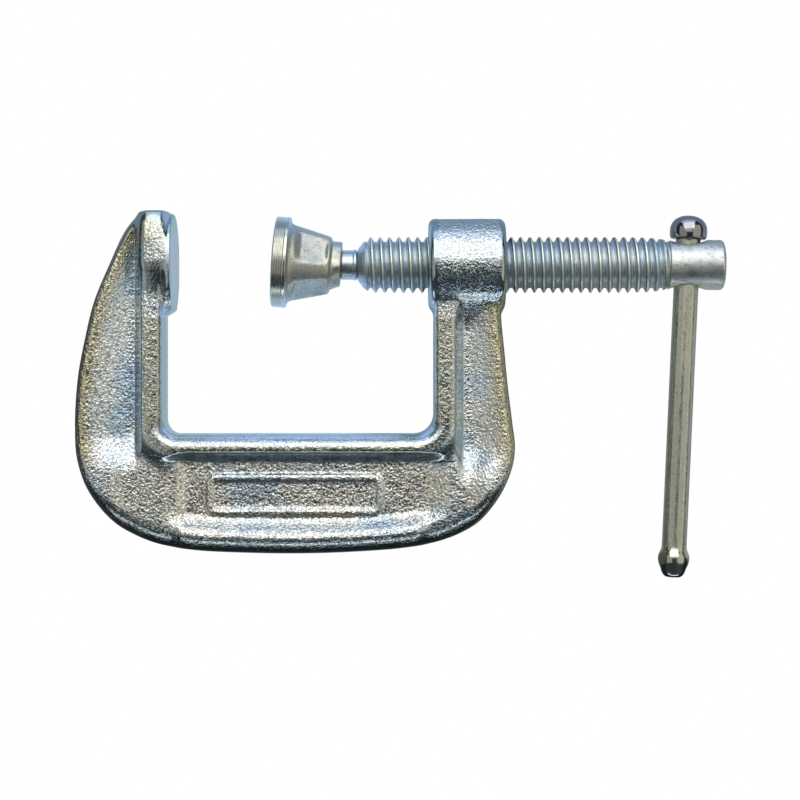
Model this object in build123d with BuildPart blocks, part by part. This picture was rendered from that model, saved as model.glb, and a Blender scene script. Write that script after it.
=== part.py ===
# C clamp, small drop-in size: cast C frame, rolled screw, crimped swivel pad, sliding T bar.
# Millimetres. The clamp lies on its side: +X runs along the screw from the fixed anvil to
# the handle, +Z is the thickness of the frame, and the throat opens below the screw axis.
# The origin is the centre of the anvil face, on the screw axis.
from build123d import *
import math
import os

os.makedirs("parts", exist_ok=True)

# ---------------------------------------------------------------- frame section
WEB_HALF = 2.2          # half thickness of the web at the pocket floors
RIM_HALF = 4.6          # half thickness of the outer rim
BEAD_HALF = 5.3         # half thickness of the bead round the throat
RIM_ROUND = 1.3
BEAD_ROUND = 1.1
POCKET_TAPER = 18       # draft of the pocket walls, degrees

# throat
JAW_TOP = 8.9
THROAT_LEFT = -1.45
THROAT_RIGHT = 43.8
THROAT_FLOOR = -28.5
THROAT_R_LEFT = 2.6
THROAT_R_RIGHT = 3.3
BEAD_LEFT = -4.85       # outer side of the bead on the jaw arm
BEAD_RIGHT = 47.6       # outer side of the bead on the screw arm
BEAD_FLOOR = -31.6      # outer side of the bead on the spine

# outside of the frame, from the top of the fixed jaw round the spine to the boss
JAW_ARM = [(-5.6, JAW_TOP), (-8.1, 5.9), (-11.0, -0.2), (-13.5, -6.3), (-15.0, -12.4),
           (-16.2, -18.9), (-16.72, -27.0), (-16.3, -33.2), (-14.2, -38.8), (-10.0, -43.9),
           (-3.9, -47.1), (2.9, -48.35), (12.0, -48.85), (21.2, -48.97), (30.0, -48.7),
           (39.0, -48.0), (45.6, -46.75), (51.0, -44.1), (55.0, -39.5), (57.2, -34.7),
           (57.75, -31.0), (57.3, -26.7), (56.55, -20.5), (55.95, -14.4), (55.45, -9.35),
           (55.35, -6.0)]

# anvil disc
ANVIL_R = 8.5
ANVIL_THICK = 1.5
ANVIL_CUT = 7.0         # the disc is flattened at this half width
ANVIL_BACK = -5.4

# boss
BOSS_X0 = 43.0
BOSS_X1 = 56.0
BOSS_R = 7.85
BOSS_ROUND = 1.1

# ---------------------------------------------------------------- thread, 3/8-16
PITCH = 25.4 / 16
MAJOR_R = 4.74
MINOR_R = 3.92
CREST_HALF = 0.10
ROOT_HALF = 0.575
BORE_FIT = 0.06         # clearance between the crests and the hole in the boss, all round
THREAD_X0 = 32.0
THREAD_X1 = 83.7
HEAD_R = 4.25
HEAD_X1 = 93.0
CROSS_X = 86.9
CROSS_R = 2.5
CROSS_MOUTH_R = 3.35
CONE_X0 = 30.93
SPIGOT_R = 1.6
SPIGOT_X1 = 34.4
SPIGOT_FIT = 0.03

# ---------------------------------------------------------------- ball and pad
BALL_X = 25.0
BALL_R = 3.2
SOCKET_R = 3.27
NECK_R = 2.5
NECK_IN_R = 2.2
PAD_TILT = -4.0         # how far the loose pad hangs off square, degrees
PAD_FACE = -8.2         # pad face, measured from the ball centre
PAD_R = 7.7
PAD_FLANGE = 2.5
PRESS_AT = 4.98         # mid distance of each pressed flat from the pad's axis
PRESS_SLOPE = 13.2      # lean of the flats toward the lip, degrees
PRESS_TURN = 62.0       # where the first flat lies, degrees from +Y

# ---------------------------------------------------------------- sliding bar
BAR_LEAN = -2.62
BAR_R = 2.1
BAR_HEAD_R = 3.16
BAR_HEAD_Y0 = 4.42
BAR_HEAD_Y1 = 8.4
SWAGE_R = 2.65
BAR_END = -53.0


# outline of the thread from (x0, root) to (x1, root): one ridge each pitch, and the crests
# grow out of the front cone and die out before the head
def crest_radius(x):
    front = MINOR_R + 0.1 + (x - THREAD_X0) * (MAJOR_R - MINOR_R) / 1.6
    back = MAJOR_R - max(0.0, x - (THREAD_X1 - 7.0)) * 0.065
    return min(MAJOR_R, front, back)


def thread_outline():
    points = []
    centre = THREAD_X0 + 0.62
    while centre + ROOT_HALF < THREAD_X1 - 0.1:
        top = crest_radius(centre)
        points += [(centre - ROOT_HALF, MINOR_R), (centre - CREST_HALF, top),
                   (centre + CREST_HALF, top), (centre + ROOT_HALF, MINOR_R)]
        centre += PITCH
    return points


# ---------------------------------------------------------------- frame
# pockets, cut into one side of the web and mirrored to the other: corner points of each
# mouth with the radius each corner is rounded to
JAW_POCKET = [((-4.95, 9.4), 1.5), ((-9.0, 1.2), 14), ((-12.1, -6.5), 16), ((-13.9, -14.6), 18),
              ((-14.8, -24.0), 18), ((-14.5, -31.2), 4), ((-12.4, -35.1), 3.4),
              ((-6.6, -35.1), 3.0), ((-4.9, -31.2), 3.0)]
SPINE_POCKET = [((-3.3, -31.4), 4.2), ((-3.3, -38.4), 4.0), ((-0.4, -45.2), 5.5),
                ((21.0, -45.7), 30), ((44.6, -45.1), 5.5), ((46.9, -38.0), 4.5),
                ((46.9, -31.4), 4.2)]
SCREW_POCKET = [((47.7, -6.3), 1.9), ((47.7, -35.2), 3.2), ((54.2, -35.2), 3.0),
                ((55.5, -29.5), 10), ((53.9, -15.0), 14), ((52.8, -6.3), 1.9)]

with BuildPart() as pockets:
    with BuildSketch(Plane.XY.offset(BEAD_HALF + 0.1)) as pocket_mouths:
        for corners_at in (JAW_POCKET, SPINE_POCKET, SCREW_POCKET):
            with BuildLine():
                FilletPolyline(*[p for p, r in corners_at], radius=[r for p, r in corners_at],
                               close=True)
            make_face()
    extrude(amount=-(BEAD_HALF + 0.1 - WEB_HALF), taper=POCKET_TAPER)
    mirror(about=Plane.XY)

# bead round the throat
with BuildPart() as bead:
    with BuildSketch(Plane.XY.offset(-BEAD_HALF)) as bead_outline:
        with BuildLine():
            Polyline((THROAT_LEFT, 4.0), (THROAT_LEFT, THROAT_FLOOR),
                     (THROAT_RIGHT, THROAT_FLOOR), (THROAT_RIGHT, -3.0), (BEAD_RIGHT, -3.0),
                     (BEAD_RIGHT, BEAD_FLOOR), (BEAD_LEFT, BEAD_FLOOR), (BEAD_LEFT, 4.0),
                     close=True)
        make_face()
        corners = bead_outline.vertices()
        fillet(corners.filter_by_position(Axis.X, THROAT_LEFT - 0.1, THROAT_LEFT + 0.1)
               .filter_by_position(Axis.Y, -30, -28), radius=THROAT_R_LEFT)
        fillet(bead_outline.vertices()
               .filter_by_position(Axis.X, THROAT_RIGHT - 0.1, THROAT_RIGHT + 0.1)
               .filter_by_position(Axis.Y, -30, -28), radius=THROAT_R_RIGHT)
        fillet(bead_outline.vertices().filter_by_position(Axis.Y, BEAD_FLOOR - 0.1, BEAD_FLOOR + 0.1),
               radius=THROAT_R_RIGHT + 2.0)
    extrude(amount=2 * BEAD_HALF)
    fillet(bead.faces().sort_by(Axis.Z)[-1].edges() + bead.faces().sort_by(Axis.Z)[0].edges(),
           radius=BEAD_ROUND)

# anvil disc with its conical back, flattened on both sides
with BuildPart() as anvil:
    with BuildSketch(Plane.XY):
        with BuildLine():
            Polyline((0, 0), (0, ANVIL_R - 0.35), (-0.35, ANVIL_R), (-ANVIL_THICK, ANVIL_R),
                     (ANVIL_BACK, 5.0), (ANVIL_BACK - 0.6, 0), close=True)
        make_face()
    revolve(axis=Axis.X)
    with BuildSketch(Plane.XY.offset(-ANVIL_CUT)):
        with Locations((-3, 0)):
            Rectangle(8, 20)
    extrude(amount=2 * ANVIL_CUT, mode=Mode.INTERSECT)

# boss for the screw: its hole is countersunk at both mouths
with BuildPart() as boss:
    with BuildSketch(Plane.XY) as boss_half:
        with BuildLine():
            Polyline((BOSS_X0, 0), (BOSS_X0, BOSS_R), (BOSS_X1, BOSS_R), (BOSS_X1, 0), close=True)
        make_face()
        fillet(boss_half.vertices().filter_by_position(Axis.Y, BOSS_R - 0.1, BOSS_R + 0.1),
               radius=BOSS_ROUND)
    revolve(axis=Axis.X)

with BuildPart() as c_frame:
    # web and rim in one thickness, with the outside edge bevelled
    with BuildSketch(Plane.XY) as outline:
        with BuildLine():
            Line((0, 8.2), (-0.7, JAW_TOP))
            Line((-0.7, JAW_TOP), JAW_ARM[0])
            Spline(*JAW_ARM)
            Polyline(JAW_ARM[-1], (55.35, 0), (THROAT_RIGHT, 0),
                     (THROAT_RIGHT, THROAT_FLOOR), (THROAT_LEFT, THROAT_FLOOR),
                     (THROAT_LEFT, -9.45), (0, -8.0), (0, 8.2))
        make_face()
        floor_corners = outline.vertices().filter_by_position(Axis.Y, -29, -28)
        fillet(floor_corners.sort_by(Axis.X)[0], radius=THROAT_R_LEFT)
        floor_corners = outline.vertices().filter_by_position(Axis.Y, -29, -28)
        fillet(floor_corners.sort_by(Axis.X)[-1], radius=THROAT_R_RIGHT)
    extrude(amount=RIM_HALF - RIM_ROUND)
    extrude(c_frame.faces().sort_by(Axis.Z)[-1], amount=RIM_ROUND, taper=36)
    mirror(about=Plane.XY)
    add(bead.part)
    add(pockets.part, mode=Mode.SUBTRACT)
    add(anvil.part)
    add(boss.part)
    with BuildSketch(Plane.XY):
        with BuildLine():
            hole = MAJOR_R + BORE_FIT
            Polyline((BOSS_X0 - 0.1, 0), (BOSS_X0 - 0.1, hole + 0.75), (BOSS_X0 + 0.65, hole),
                     (BOSS_X1 - 0.65, hole), (BOSS_X1 + 0.1, hole + 0.75), (BOSS_X1 + 0.1, 0),
                     close=True)
        make_face()
    revolve(axis=Axis.X, mode=Mode.SUBTRACT)
c_frame.part.label = "c_frame"
export_step(c_frame.part, "parts/c_frame.step")

# ---------------------------------------------------------------- clamp screw
with BuildPart() as clamp_screw:
    with BuildSketch(Plane.XY) as half_screw:
        with BuildLine():
            Polyline((CONE_X0, 0), (CONE_X0, NECK_R + 0.25), (THREAD_X0, MINOR_R - 0.1),
                     *thread_outline(), (THREAD_X1 - 0.05, MINOR_R - 0.07),
                     (THREAD_X1, HEAD_R - 0.15), (THREAD_X1 + 0.15, HEAD_R),
                     (HEAD_X1, HEAD_R), (HEAD_X1, 0), close=True)
        make_face()
        fillet(half_screw.vertices().filter_by_position(Axis.X, HEAD_X1 - 0.01, HEAD_X1 + 0.01)
               .filter_by_position(Axis.Y, HEAD_R - 0.1, HEAD_R + 0.1), radius=0.55)
    revolve(axis=Axis.X)
    # cross hole for the bar, countersunk on both sides
    with BuildSketch(Plane.XY):
        with BuildLine():
            Polyline((CROSS_X, HEAD_R + 0.6), (CROSS_X + CROSS_MOUTH_R + 0.35, HEAD_R + 0.6),
                     (CROSS_X + CROSS_R, 3.15), (CROSS_X + CROSS_R, -3.15),
                     (CROSS_X + CROSS_MOUTH_R + 0.35, -HEAD_R - 0.6), (CROSS_X, -HEAD_R - 0.6),
                     close=True)
        make_face()
    revolve(axis=Axis(origin=(CROSS_X, 0, 0), direction=(0, 1, 0)), mode=Mode.SUBTRACT)
    # bore for the neck's spigot
    with BuildSketch(Plane.YZ.offset(CONE_X0 - 0.01)):
        Circle(SPIGOT_R + SPIGOT_FIT)
    extrude(amount=SPIGOT_X1 + 0.1 - CONE_X0, mode=Mode.SUBTRACT)
clamp_screw.part.label = "clamp_screw"
export_step(clamp_screw.part, "parts/clamp_screw.step")

# ---------------------------------------------------------------- ball tip
with BuildPart() as ball_tip:
    with BuildSketch(Plane.XY):
        with BuildLine():
            neck_at = BALL_X + math.sqrt(BALL_R ** 2 - NECK_IN_R ** 2)
            Line((SPIGOT_X1, 0), (BALL_X - BALL_R, 0))
            ThreePointArc((BALL_X - BALL_R, 0), (BALL_X, BALL_R), (neck_at, NECK_IN_R))
            Polyline((neck_at, NECK_IN_R), (28.0, NECK_IN_R), (28.35, NECK_R), (30.25, NECK_R),
                     (30.5, NECK_R + 0.12), (30.75, NECK_R + 0.12), (30.9, NECK_R),
                     (30.9, SPIGOT_R), (SPIGOT_X1 - 0.3, SPIGOT_R), (SPIGOT_X1, SPIGOT_R - 0.3),
                     (SPIGOT_X1, 0))
        make_face()
    revolve(axis=Axis.X)
ball_tip.part.label = "ball_tip"
export_step(ball_tip.part, "parts/ball_tip.step")

# ---------------------------------------------------------------- swivel pad
# drawn square, with the ball centre at its origin, then tilted to where it hangs
LIP_X = 3.2             # end of the crimped lip, past the ball centre
with BuildPart() as pad_square:
    with BuildSketch(Plane.XY):
        with BuildLine():
            f = PAD_FACE
            Line((f, 0), (f, PAD_R - 0.35))
            ThreePointArc((f, PAD_R - 0.35), (f + 0.1, PAD_R - 0.1), (f + 0.35, PAD_R))
            # turned grooves round the rim
            rim = [(f + 0.35, PAD_R)]
            for k in range(4):
                g = f + 0.52 + 0.43 * k
                rim += [(g, PAD_R), (g + 0.12, PAD_R - 0.12), (g + 0.24, PAD_R)]
            rim += [(f + PAD_FLANGE - 0.15, PAD_R), (f + PAD_FLANGE, PAD_R - 0.15)]
            Polyline(*rim)
            Line(rim[-1], (f + PAD_FLANGE, 6.75))
            Spline((f + PAD_FLANGE, 6.75), (f + 3.3, 6.40), (f + 4.6, 6.08), (f + 6.0, 5.74),
                   (f + 7.5, 5.36), (f + 9.2, 4.92))
            ThreePointArc((f + 9.2, 4.92), (f + 9.62, 4.62), (f + 9.8, 4.2))
            Line((f + 9.8, 4.2), (LIP_X - 0.15, 4.2))
            ThreePointArc((LIP_X - 0.15, 4.2), (LIP_X - 0.04, 4.15), (LIP_X, 4.05))
            socket_x = math.sqrt(SOCKET_R ** 2 - 2.66 ** 2)
            Line((LIP_X, 4.05), (LIP_X, 3.06))
            Line((LIP_X, 3.06), (socket_x, 2.66))
            ThreePointArc((socket_x, 2.66), (0, SOCKET_R), (-SOCKET_R, 0))
            Line((-SOCKET_R, 0), (f, 0))
        make_face()
    revolve(axis=Axis.X)
    # four flats pressed in round the socket, which close it on the ball
    lean = math.radians(PRESS_SLOPE)
    for k in range(4):
        with Locations(Location((0, 0, 0), (PRESS_TURN + 90 * k, 0, 0))
                       * Location((-1.85 + 1.5 * math.sin(lean), PRESS_AT + 1.5 * math.cos(lean), 0),
                                  (0, 0, -PRESS_SLOPE))):
            Box(5.8, 3.0, 9.2, mode=Mode.SUBTRACT)

with BuildPart() as swivel_pad:
    with Locations(Location((BALL_X, 0, 0), (0, 0, PAD_TILT))):
        add(pad_square.part)
swivel_pad.part.label = "swivel_pad"
export_step(swivel_pad.part, "parts/swivel_pad.step")

# ---------------------------------------------------------------- sliding bar
# drawn along +Y through its own origin, then leant over in the cross hole
with BuildPart() as bar_upright:
    with BuildSketch(Plane.XY):
        with BuildLine():
            Line((0, BAR_END), (1.15, BAR_END))
            Spline((1.15, BAR_END), (1.75, BAR_END + 0.35), (2.05, BAR_END + 1.0),
                   (2.42, -50.9), (SWAGE_R, -49.8), (2.5, -48.9), (BAR_R, -47.8))
            Line((BAR_R, -47.8), (BAR_R, BAR_HEAD_Y0))
            Line((BAR_R, BAR_HEAD_Y0), (2.75, BAR_HEAD_Y0))
            Spline((2.75, BAR_HEAD_Y0), (3.08, 5.1), (BAR_HEAD_R, 5.9), (2.93, 7.0),
                   (2.2, 7.95), (1.1, 8.33), (0, BAR_HEAD_Y1))
            Line((0, BAR_HEAD_Y1), (0, BAR_END))
        make_face()
    revolve(axis=Axis.Y)

with BuildPart() as sliding_bar:
    with Locations(Location((CROSS_X, 0, 0), (0, 0, BAR_LEAN))):
        add(bar_upright.part)
sliding_bar.part.label = "sliding_bar"
export_step(sliding_bar.part, "parts/sliding_bar.step")
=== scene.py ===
import math

import bpy
import numpy as np
from mathutils import Matrix, Vector


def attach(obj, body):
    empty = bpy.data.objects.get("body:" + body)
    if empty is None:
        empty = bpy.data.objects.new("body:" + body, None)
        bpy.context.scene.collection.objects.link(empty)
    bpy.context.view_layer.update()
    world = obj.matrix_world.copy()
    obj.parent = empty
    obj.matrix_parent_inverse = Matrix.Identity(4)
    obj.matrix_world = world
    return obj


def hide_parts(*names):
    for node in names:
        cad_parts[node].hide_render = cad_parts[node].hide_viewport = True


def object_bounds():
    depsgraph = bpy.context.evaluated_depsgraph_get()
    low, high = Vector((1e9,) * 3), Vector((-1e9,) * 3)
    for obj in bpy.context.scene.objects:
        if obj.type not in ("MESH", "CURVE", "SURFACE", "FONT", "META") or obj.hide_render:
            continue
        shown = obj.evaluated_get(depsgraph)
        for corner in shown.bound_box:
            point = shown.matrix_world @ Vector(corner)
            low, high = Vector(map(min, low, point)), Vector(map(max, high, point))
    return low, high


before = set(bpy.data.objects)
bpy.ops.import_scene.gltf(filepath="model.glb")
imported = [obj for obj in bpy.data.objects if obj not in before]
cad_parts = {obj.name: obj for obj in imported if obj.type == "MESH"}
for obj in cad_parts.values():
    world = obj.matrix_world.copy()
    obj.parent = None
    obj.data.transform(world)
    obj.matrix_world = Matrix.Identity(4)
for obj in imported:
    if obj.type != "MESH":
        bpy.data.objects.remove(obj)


def plain(box):
    return [[float(v) for v in corner] for corner in box]


CAD_BOX = plain(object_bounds())
MM = 0.001
f32 = np.float32

# ------------------------------------------------------------------ dimensions, mm
WEB, RIM, BEAD = 2.2, 4.6, 5.3
JAW_TOP = 8.9
TL, TR, TF = -1.45, 43.8, -28.5
OUTSIDE = [(-5.6, 8.9), (-8.1, 5.9), (-11.0, -0.2), (-13.5, -6.3), (-15.0, -12.4),
           (-16.2, -18.9), (-16.72, -27.0), (-16.3, -33.2), (-14.2, -38.8), (-10.0, -43.9),
           (-3.9, -47.1), (2.9, -48.35), (12.0, -48.85), (21.2, -48.97), (30.0, -48.7),
           (39.0, -48.0), (45.6, -46.75), (51.0, -44.1), (55.0, -39.5), (57.2, -34.7),
           (57.75, -31.0), (57.3, -26.7), (56.55, -20.5), (55.95, -14.4), (55.45, -9.35),
           (55.35, -6.0)]
JAW_POCKET = [(-5.9, 5.2), (-8.2, 2.2), (-10.5, -2.6), (-12.5, -8.8), (-13.9, -16.0),
              (-14.75, -23.8), (-14.5, -30.0), (-12.9, -33.6), (-9.6, -34.9), (-6.3, -33.6),
              (-4.95, -29.8), (-4.9, -20.0), (-5.0, -8.0), (-5.2, 2.6)]
SPINE_POCKET = [(1.2, -31.5), (-2.5, -33.0), (-3.2, -36.6), (-2.2, -41.0), (1.8, -44.2),
                (8.0, -45.2), (21.0, -45.5), (33.0, -45.3), (41.0, -44.6), (45.6, -41.8),
                (46.9, -37.6), (46.3, -33.4), (42.4, -31.5), (33.0, -31.4), (21.0, -31.4),
                (9.0, -31.4)]
SCREW_POCKET = [(49.6, -6.6), (47.9, -8.6), (47.7, -16.0), (47.7, -25.0), (48.1, -31.4),
                (50.2, -34.8), (53.0, -34.9), (54.9, -32.2), (55.2, -28.0), (54.6, -21.0),
                (53.6, -13.0), (52.7, -8.2), (51.2, -6.5)]
ANVIL_R, ANVIL_CUT = 8.5, 7.0
BOSS0, BOSS1, BOSS_R = 43.0, 56.0, 7.82
PITCH = 25.4 / 16
MAJOR, MINOR = 4.74, 3.92
TH0, TH1 = 32.0, 83.7
HEAD_R, HEAD1 = 4.25, 93.0
CROSS_X, CROSS_R, CROSS_MOUTH = 86.9, 2.5, 3.35
BALL_X, PAD_TILT, BAR_LEAN = 25.0, -4.0, -2.62


# ------------------------------------------------------------------ helpers
def catmull(points, closed, n):
    p = np.array(points, float)
    if closed:
        p = np.vstack([p[-1], p, p[0], p[1]])
    else:
        p = np.vstack([2 * p[0] - p[1], p, 2 * p[-1] - p[-2]])
    out = []
    for i in range(1, len(p) - 2):
        a, b, c, d = p[i - 1], p[i], p[i + 1], p[i + 2]
        t0 = 0.0
        t1 = t0 + np.linalg.norm(b - a) ** 0.5
        t2 = t1 + np.linalg.norm(c - b) ** 0.5
        t3 = t2 + np.linalg.norm(d - c) ** 0.5
        for t in np.linspace(t1, t2, n, endpoint=False):
            A1 = (t1 - t) / (t1 - t0) * a + (t - t0) / (t1 - t0) * b
            A2 = (t2 - t) / (t2 - t1) * b + (t - t1) / (t2 - t1) * c
            A3 = (t3 - t) / (t3 - t2) * c + (t - t2) / (t3 - t2) * d
            B1 = (t2 - t) / (t2 - t0) * A1 + (t - t0) / (t2 - t0) * A2
            B2 = (t3 - t) / (t3 - t1) * A2 + (t - t1) / (t3 - t1) * A3
            out.append((t2 - t) / (t2 - t1) * B1 + (t - t1) / (t2 - t1) * B2)
    if not closed:
        out.append(p[-2])
    return np.array(out)


def arc(cx, cy, r, a0, a1, n=12):
    t = np.radians(np.linspace(a0, a1, n))
    return np.stack([cx + r * np.cos(t), cy + r * np.sin(t)], 1)


def distance(P, line, closed=True):
    """Distance from points P (n, 2) to a polyline, in chunks."""
    a = np.asarray(line, f32)
    b = np.roll(a, -1, 0) if closed else a[1:]
    a = a if closed else a[:-1]
    ab = b - a
    L2 = np.maximum((ab ** 2).sum(1), 1e-9)
    best = np.full(len(P), 1e9, f32)
    for k in range(len(a)):
        d = P - a[k]
        t = np.clip((d @ ab[k]) / L2[k], 0, 1)
        e = d - t[:, None] * ab[k]
        np.minimum(best, (e ** 2).sum(1), out=best)
    return np.sqrt(best)


def inside(P, poly):
    x, y = P[:, 0], P[:, 1]
    hit = np.zeros(len(P), bool)
    q = np.roll(poly, -1, 0)
    for (x0, y0), (x1, y1) in zip(poly, q):
        if y0 == y1:
            continue
        c = (y0 > y) != (y1 > y)
        hit ^= c & (x < (x1 - x0) * (y - y0) / (y1 - y0) + x0)
    return hit


def smooth(t):
    t = np.clip(t, 0, 1)
    return t * t * (3 - 2 * t)


def both(a, b, r):
    """Intersection, positive inside, with the edge rounded to r."""
    m = np.minimum(a, b)
    c = r - np.sqrt(np.clip(r - a, 0, None) ** 2 + np.clip(r - b, 0, None) ** 2)
    return np.where((a < r) & (b < r), c, m)


def either(a, b, k):
    """Union, positive inside, with the join filled out to k."""
    h = np.clip(0.5 + 0.5 * (a - b) / k, 0, 1)
    return b * (1 - h) + a * h + k * h * (1 - h)


def lattice(seed, n=64):
    return np.random.default_rng(seed).uniform(-1, 1, (n, n, n)).astype(f32)


def noise(p, size, seed):
    """Smooth value noise of unit height with features of the given size."""
    tab = lattice(seed)
    n = tab.shape[0]
    q = p / size + 31.7 * (seed % 7 + 1)
    i = np.floor(q).astype(int)
    t = q - i
    t = t * t * t * (t * (t * 6 - 15) + 10)
    out = 0
    for dx in (0, 1):
        wx = t[:, 0] if dx else 1 - t[:, 0]
        for dy in (0, 1):
            wy = t[:, 1] if dy else 1 - t[:, 1]
            for dz in (0, 1):
                wz = t[:, 2] if dz else 1 - t[:, 2]
                out = out + wx * wy * wz * tab[(i[:, 0] + dx) % n, (i[:, 1] + dy) % n,
                                               (i[:, 2] + dz) % n]
    return out


def nets(F, lo, h):
    """Surface nets of F > 0 on a regular grid: vertices, outward quads."""
    S = F > 0
    nx, ny, nz = F.shape
    c = np.zeros((nx - 1, ny - 1, nz - 1), np.uint8)
    for dx in (0, 1):
        for dy in (0, 1):
            for dz in (0, 1):
                c += S[dx:nx - 1 + dx, dy:ny - 1 + dy, dz:nz - 1 + dz]
    cells = np.argwhere((c > 0) & (c < 8))
    index = -np.ones(c.shape, np.int64)
    index[tuple(cells.T)] = np.arange(len(cells))
    total = np.zeros((len(cells), 3))
    count = np.zeros(len(cells))
    corners = [(x, y, z) for x in (0, 1) for y in (0, 1) for z in (0, 1)]
    val = {k: F[cells[:, 0] + k[0], cells[:, 1] + k[1], cells[:, 2] + k[2]] for k in corners}
    for a in corners:
        for ax in range(3):
            if a[ax]:
                continue
            b = list(a)
            b[ax] = 1
            b = tuple(b)
            va, vb = val[a], val[b]
            m = (va > 0) != (vb > 0)
            t = np.where(m, va / np.where(m, va - vb, 1), 0)
            pt = np.tile(np.array(a, float), (len(cells), 1))
            pt[:, ax] += t
            total[m] += pt[m]
            count[m] += 1
    verts = (cells + total / count[:, None]) * h + lo
    quads = []
    for ax in range(3):
        u, v = (ax + 1) % 3, (ax + 2) % 3
        a = [slice(None)] * 3
        b = [slice(None)] * 3
        a[ax], b[ax] = slice(0, -1), slice(1, None)
        A, B = S[tuple(a)], S[tuple(b)]
        for flip, m in ((False, A & ~B), (True, ~A & B)):
            e = np.argwhere(m)
            e = e[(e[:, u] > 0) & (e[:, v] > 0)]
            e = e[(e[:, u] < F.shape[u] - 1) & (e[:, v] < F.shape[v] - 1)]
            q = []
            for du, dv in ((-1, -1), (0, -1), (0, 0), (-1, 0)):
                k = e.copy()
                k[:, u] += du
                k[:, v] += dv
                q.append(index[tuple(k.T)])
            q = np.stack(q if not flip else q[::-1], 1)
            quads.append(q)
    return verts, np.vstack(quads)


def settle(P, fn, steps=3, limit=0.1, e=0.03):
    """Move points onto fn = 0 along its slope."""
    for _ in range(steps):
        v = fn(P)
        g = np.stack([fn(P + d) - fn(P - d) for d in np.eye(3) * e], 1) / (2 * e)
        g2 = np.maximum((g ** 2).sum(1), 0.05)
        step = v[:, None] * g / g2[:, None]
        n = np.linalg.norm(step, axis=1, keepdims=True)
        P = P - step * np.minimum(1, limit / np.maximum(n, 1e-9))
    return P, -g / np.sqrt(np.maximum((g ** 2).sum(1), 1e-9))[:, None]


def build(name, verts, faces, body, node, material, weld=0.0):
    mesh = bpy.data.meshes.new(name)
    mesh.from_pydata([], [], [])
    faces = np.asarray(faces) if not isinstance(faces, list) else faces
    v = np.asarray(verts, np.float64) * MM
    if isinstance(faces, list):
        mesh.from_pydata(v.tolist(), [], faces)
    else:
        k = faces.shape[1]
        mesh.vertices.add(len(v))
        mesh.vertices.foreach_set("co", v.ravel())
        mesh.loops.add(faces.size)
        mesh.loops.foreach_set("vertex_index", faces.ravel().astype(np.int32))
        mesh.polygons.add(len(faces))
        mesh.polygons.foreach_set("loop_start", np.arange(0, faces.size, k, dtype=np.int32))
        mesh.polygons.foreach_set("loop_total", np.full(len(faces), k, np.int32))
    mesh.update(calc_edges=True)
    mesh.validate()
    if weld:
        import bmesh
        bm = bmesh.new()
        bm.from_mesh(mesh)
        bmesh.ops.remove_doubles(bm, verts=bm.verts, dist=weld * MM)
        bmesh.ops.dissolve_degenerate(bm, edges=bm.edges, dist=1e-8)
        bmesh.ops.recalc_face_normals(bm, faces=bm.faces)
        bm.to_mesh(mesh)
        bm.free()
    mesh.polygons.foreach_set("use_smooth", np.ones(len(mesh.polygons), bool))
    mesh.materials.append(material)
    obj = bpy.data.objects.new(name, mesh)
    bpy.context.scene.collection.objects.link(obj)
    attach(obj, body)
    if node:
        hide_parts(node)
    return obj


# ------------------------------------------------------------------ materials
def material(name):
    m = bpy.data.materials.new(name)
    m.use_nodes = True
    nt = m.node_tree
    nt.nodes.clear()
    out = nt.nodes.new("ShaderNodeOutputMaterial")
    b = nt.nodes.new("ShaderNodeBsdfPrincipled")
    nt.links.new(b.outputs[0], out.inputs[0])
    b.inputs["Metallic"].default_value = 1.0
    return m, nt, b


def noise_node(nt, scale, detail=3.0, rough=0.55, vec=None, distort=0.0):
    n = nt.nodes.new("ShaderNodeTexNoise")
    n.inputs["Scale"].default_value = scale
    n.inputs["Detail"].default_value = detail
    n.inputs["Roughness"].default_value = rough
    n.inputs["Distortion"].default_value = distort
    nt.links.new(vec, n.inputs["Vector"])
    return n.outputs["Fac"]


def ramp(nt, fac, stops):
    r = nt.nodes.new("ShaderNodeValToRGB")
    while len(r.color_ramp.elements) < len(stops):
        r.color_ramp.elements.new(0.5)
    for e, (p, c) in zip(r.color_ramp.elements, stops):
        e.position = p
        e.color = (*c, 1) if len(c) == 3 else c
    nt.links.new(fac, r.inputs["Fac"])
    return r.outputs["Color"]


def spread(nt, fac, lo, hi, a=0.0, b=1.0):
    r = nt.nodes.new("ShaderNodeMapRange")
    r.inputs["From Min"].default_value = a
    r.inputs["From Max"].default_value = b
    r.inputs["To Min"].default_value = lo
    r.inputs["To Max"].default_value = hi
    nt.links.new(fac, r.inputs["Value"])
    return r.outputs["Result"]


def mixed(nt, fac, a, b, mode="MIX"):
    m = nt.nodes.new("ShaderNodeMix")
    m.data_type = "RGBA"
    m.blend_type = mode
    for s, v in ((m.inputs[0], fac), (m.inputs[6], a), (m.inputs[7], b)):
        if isinstance(v, (int, float)):
            s.default_value = v
        elif isinstance(v, tuple):
            s.default_value = (*v, 1)
        else:
            nt.links.new(v, s)
    return m.outputs[2]


def bump(nt, height, strength, dist, normal=None):
    b = nt.nodes.new("ShaderNodeBump")
    b.inputs["Strength"].default_value = strength
    b.inputs["Distance"].default_value = dist
    nt.links.new(height, b.inputs["Height"])
    if normal is not None:
        nt.links.new(normal, b.inputs["Normal"])
    return b.outputs["Normal"]


def coords(nt):
    return nt.nodes.new("ShaderNodeTexCoord").outputs["Object"]


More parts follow.
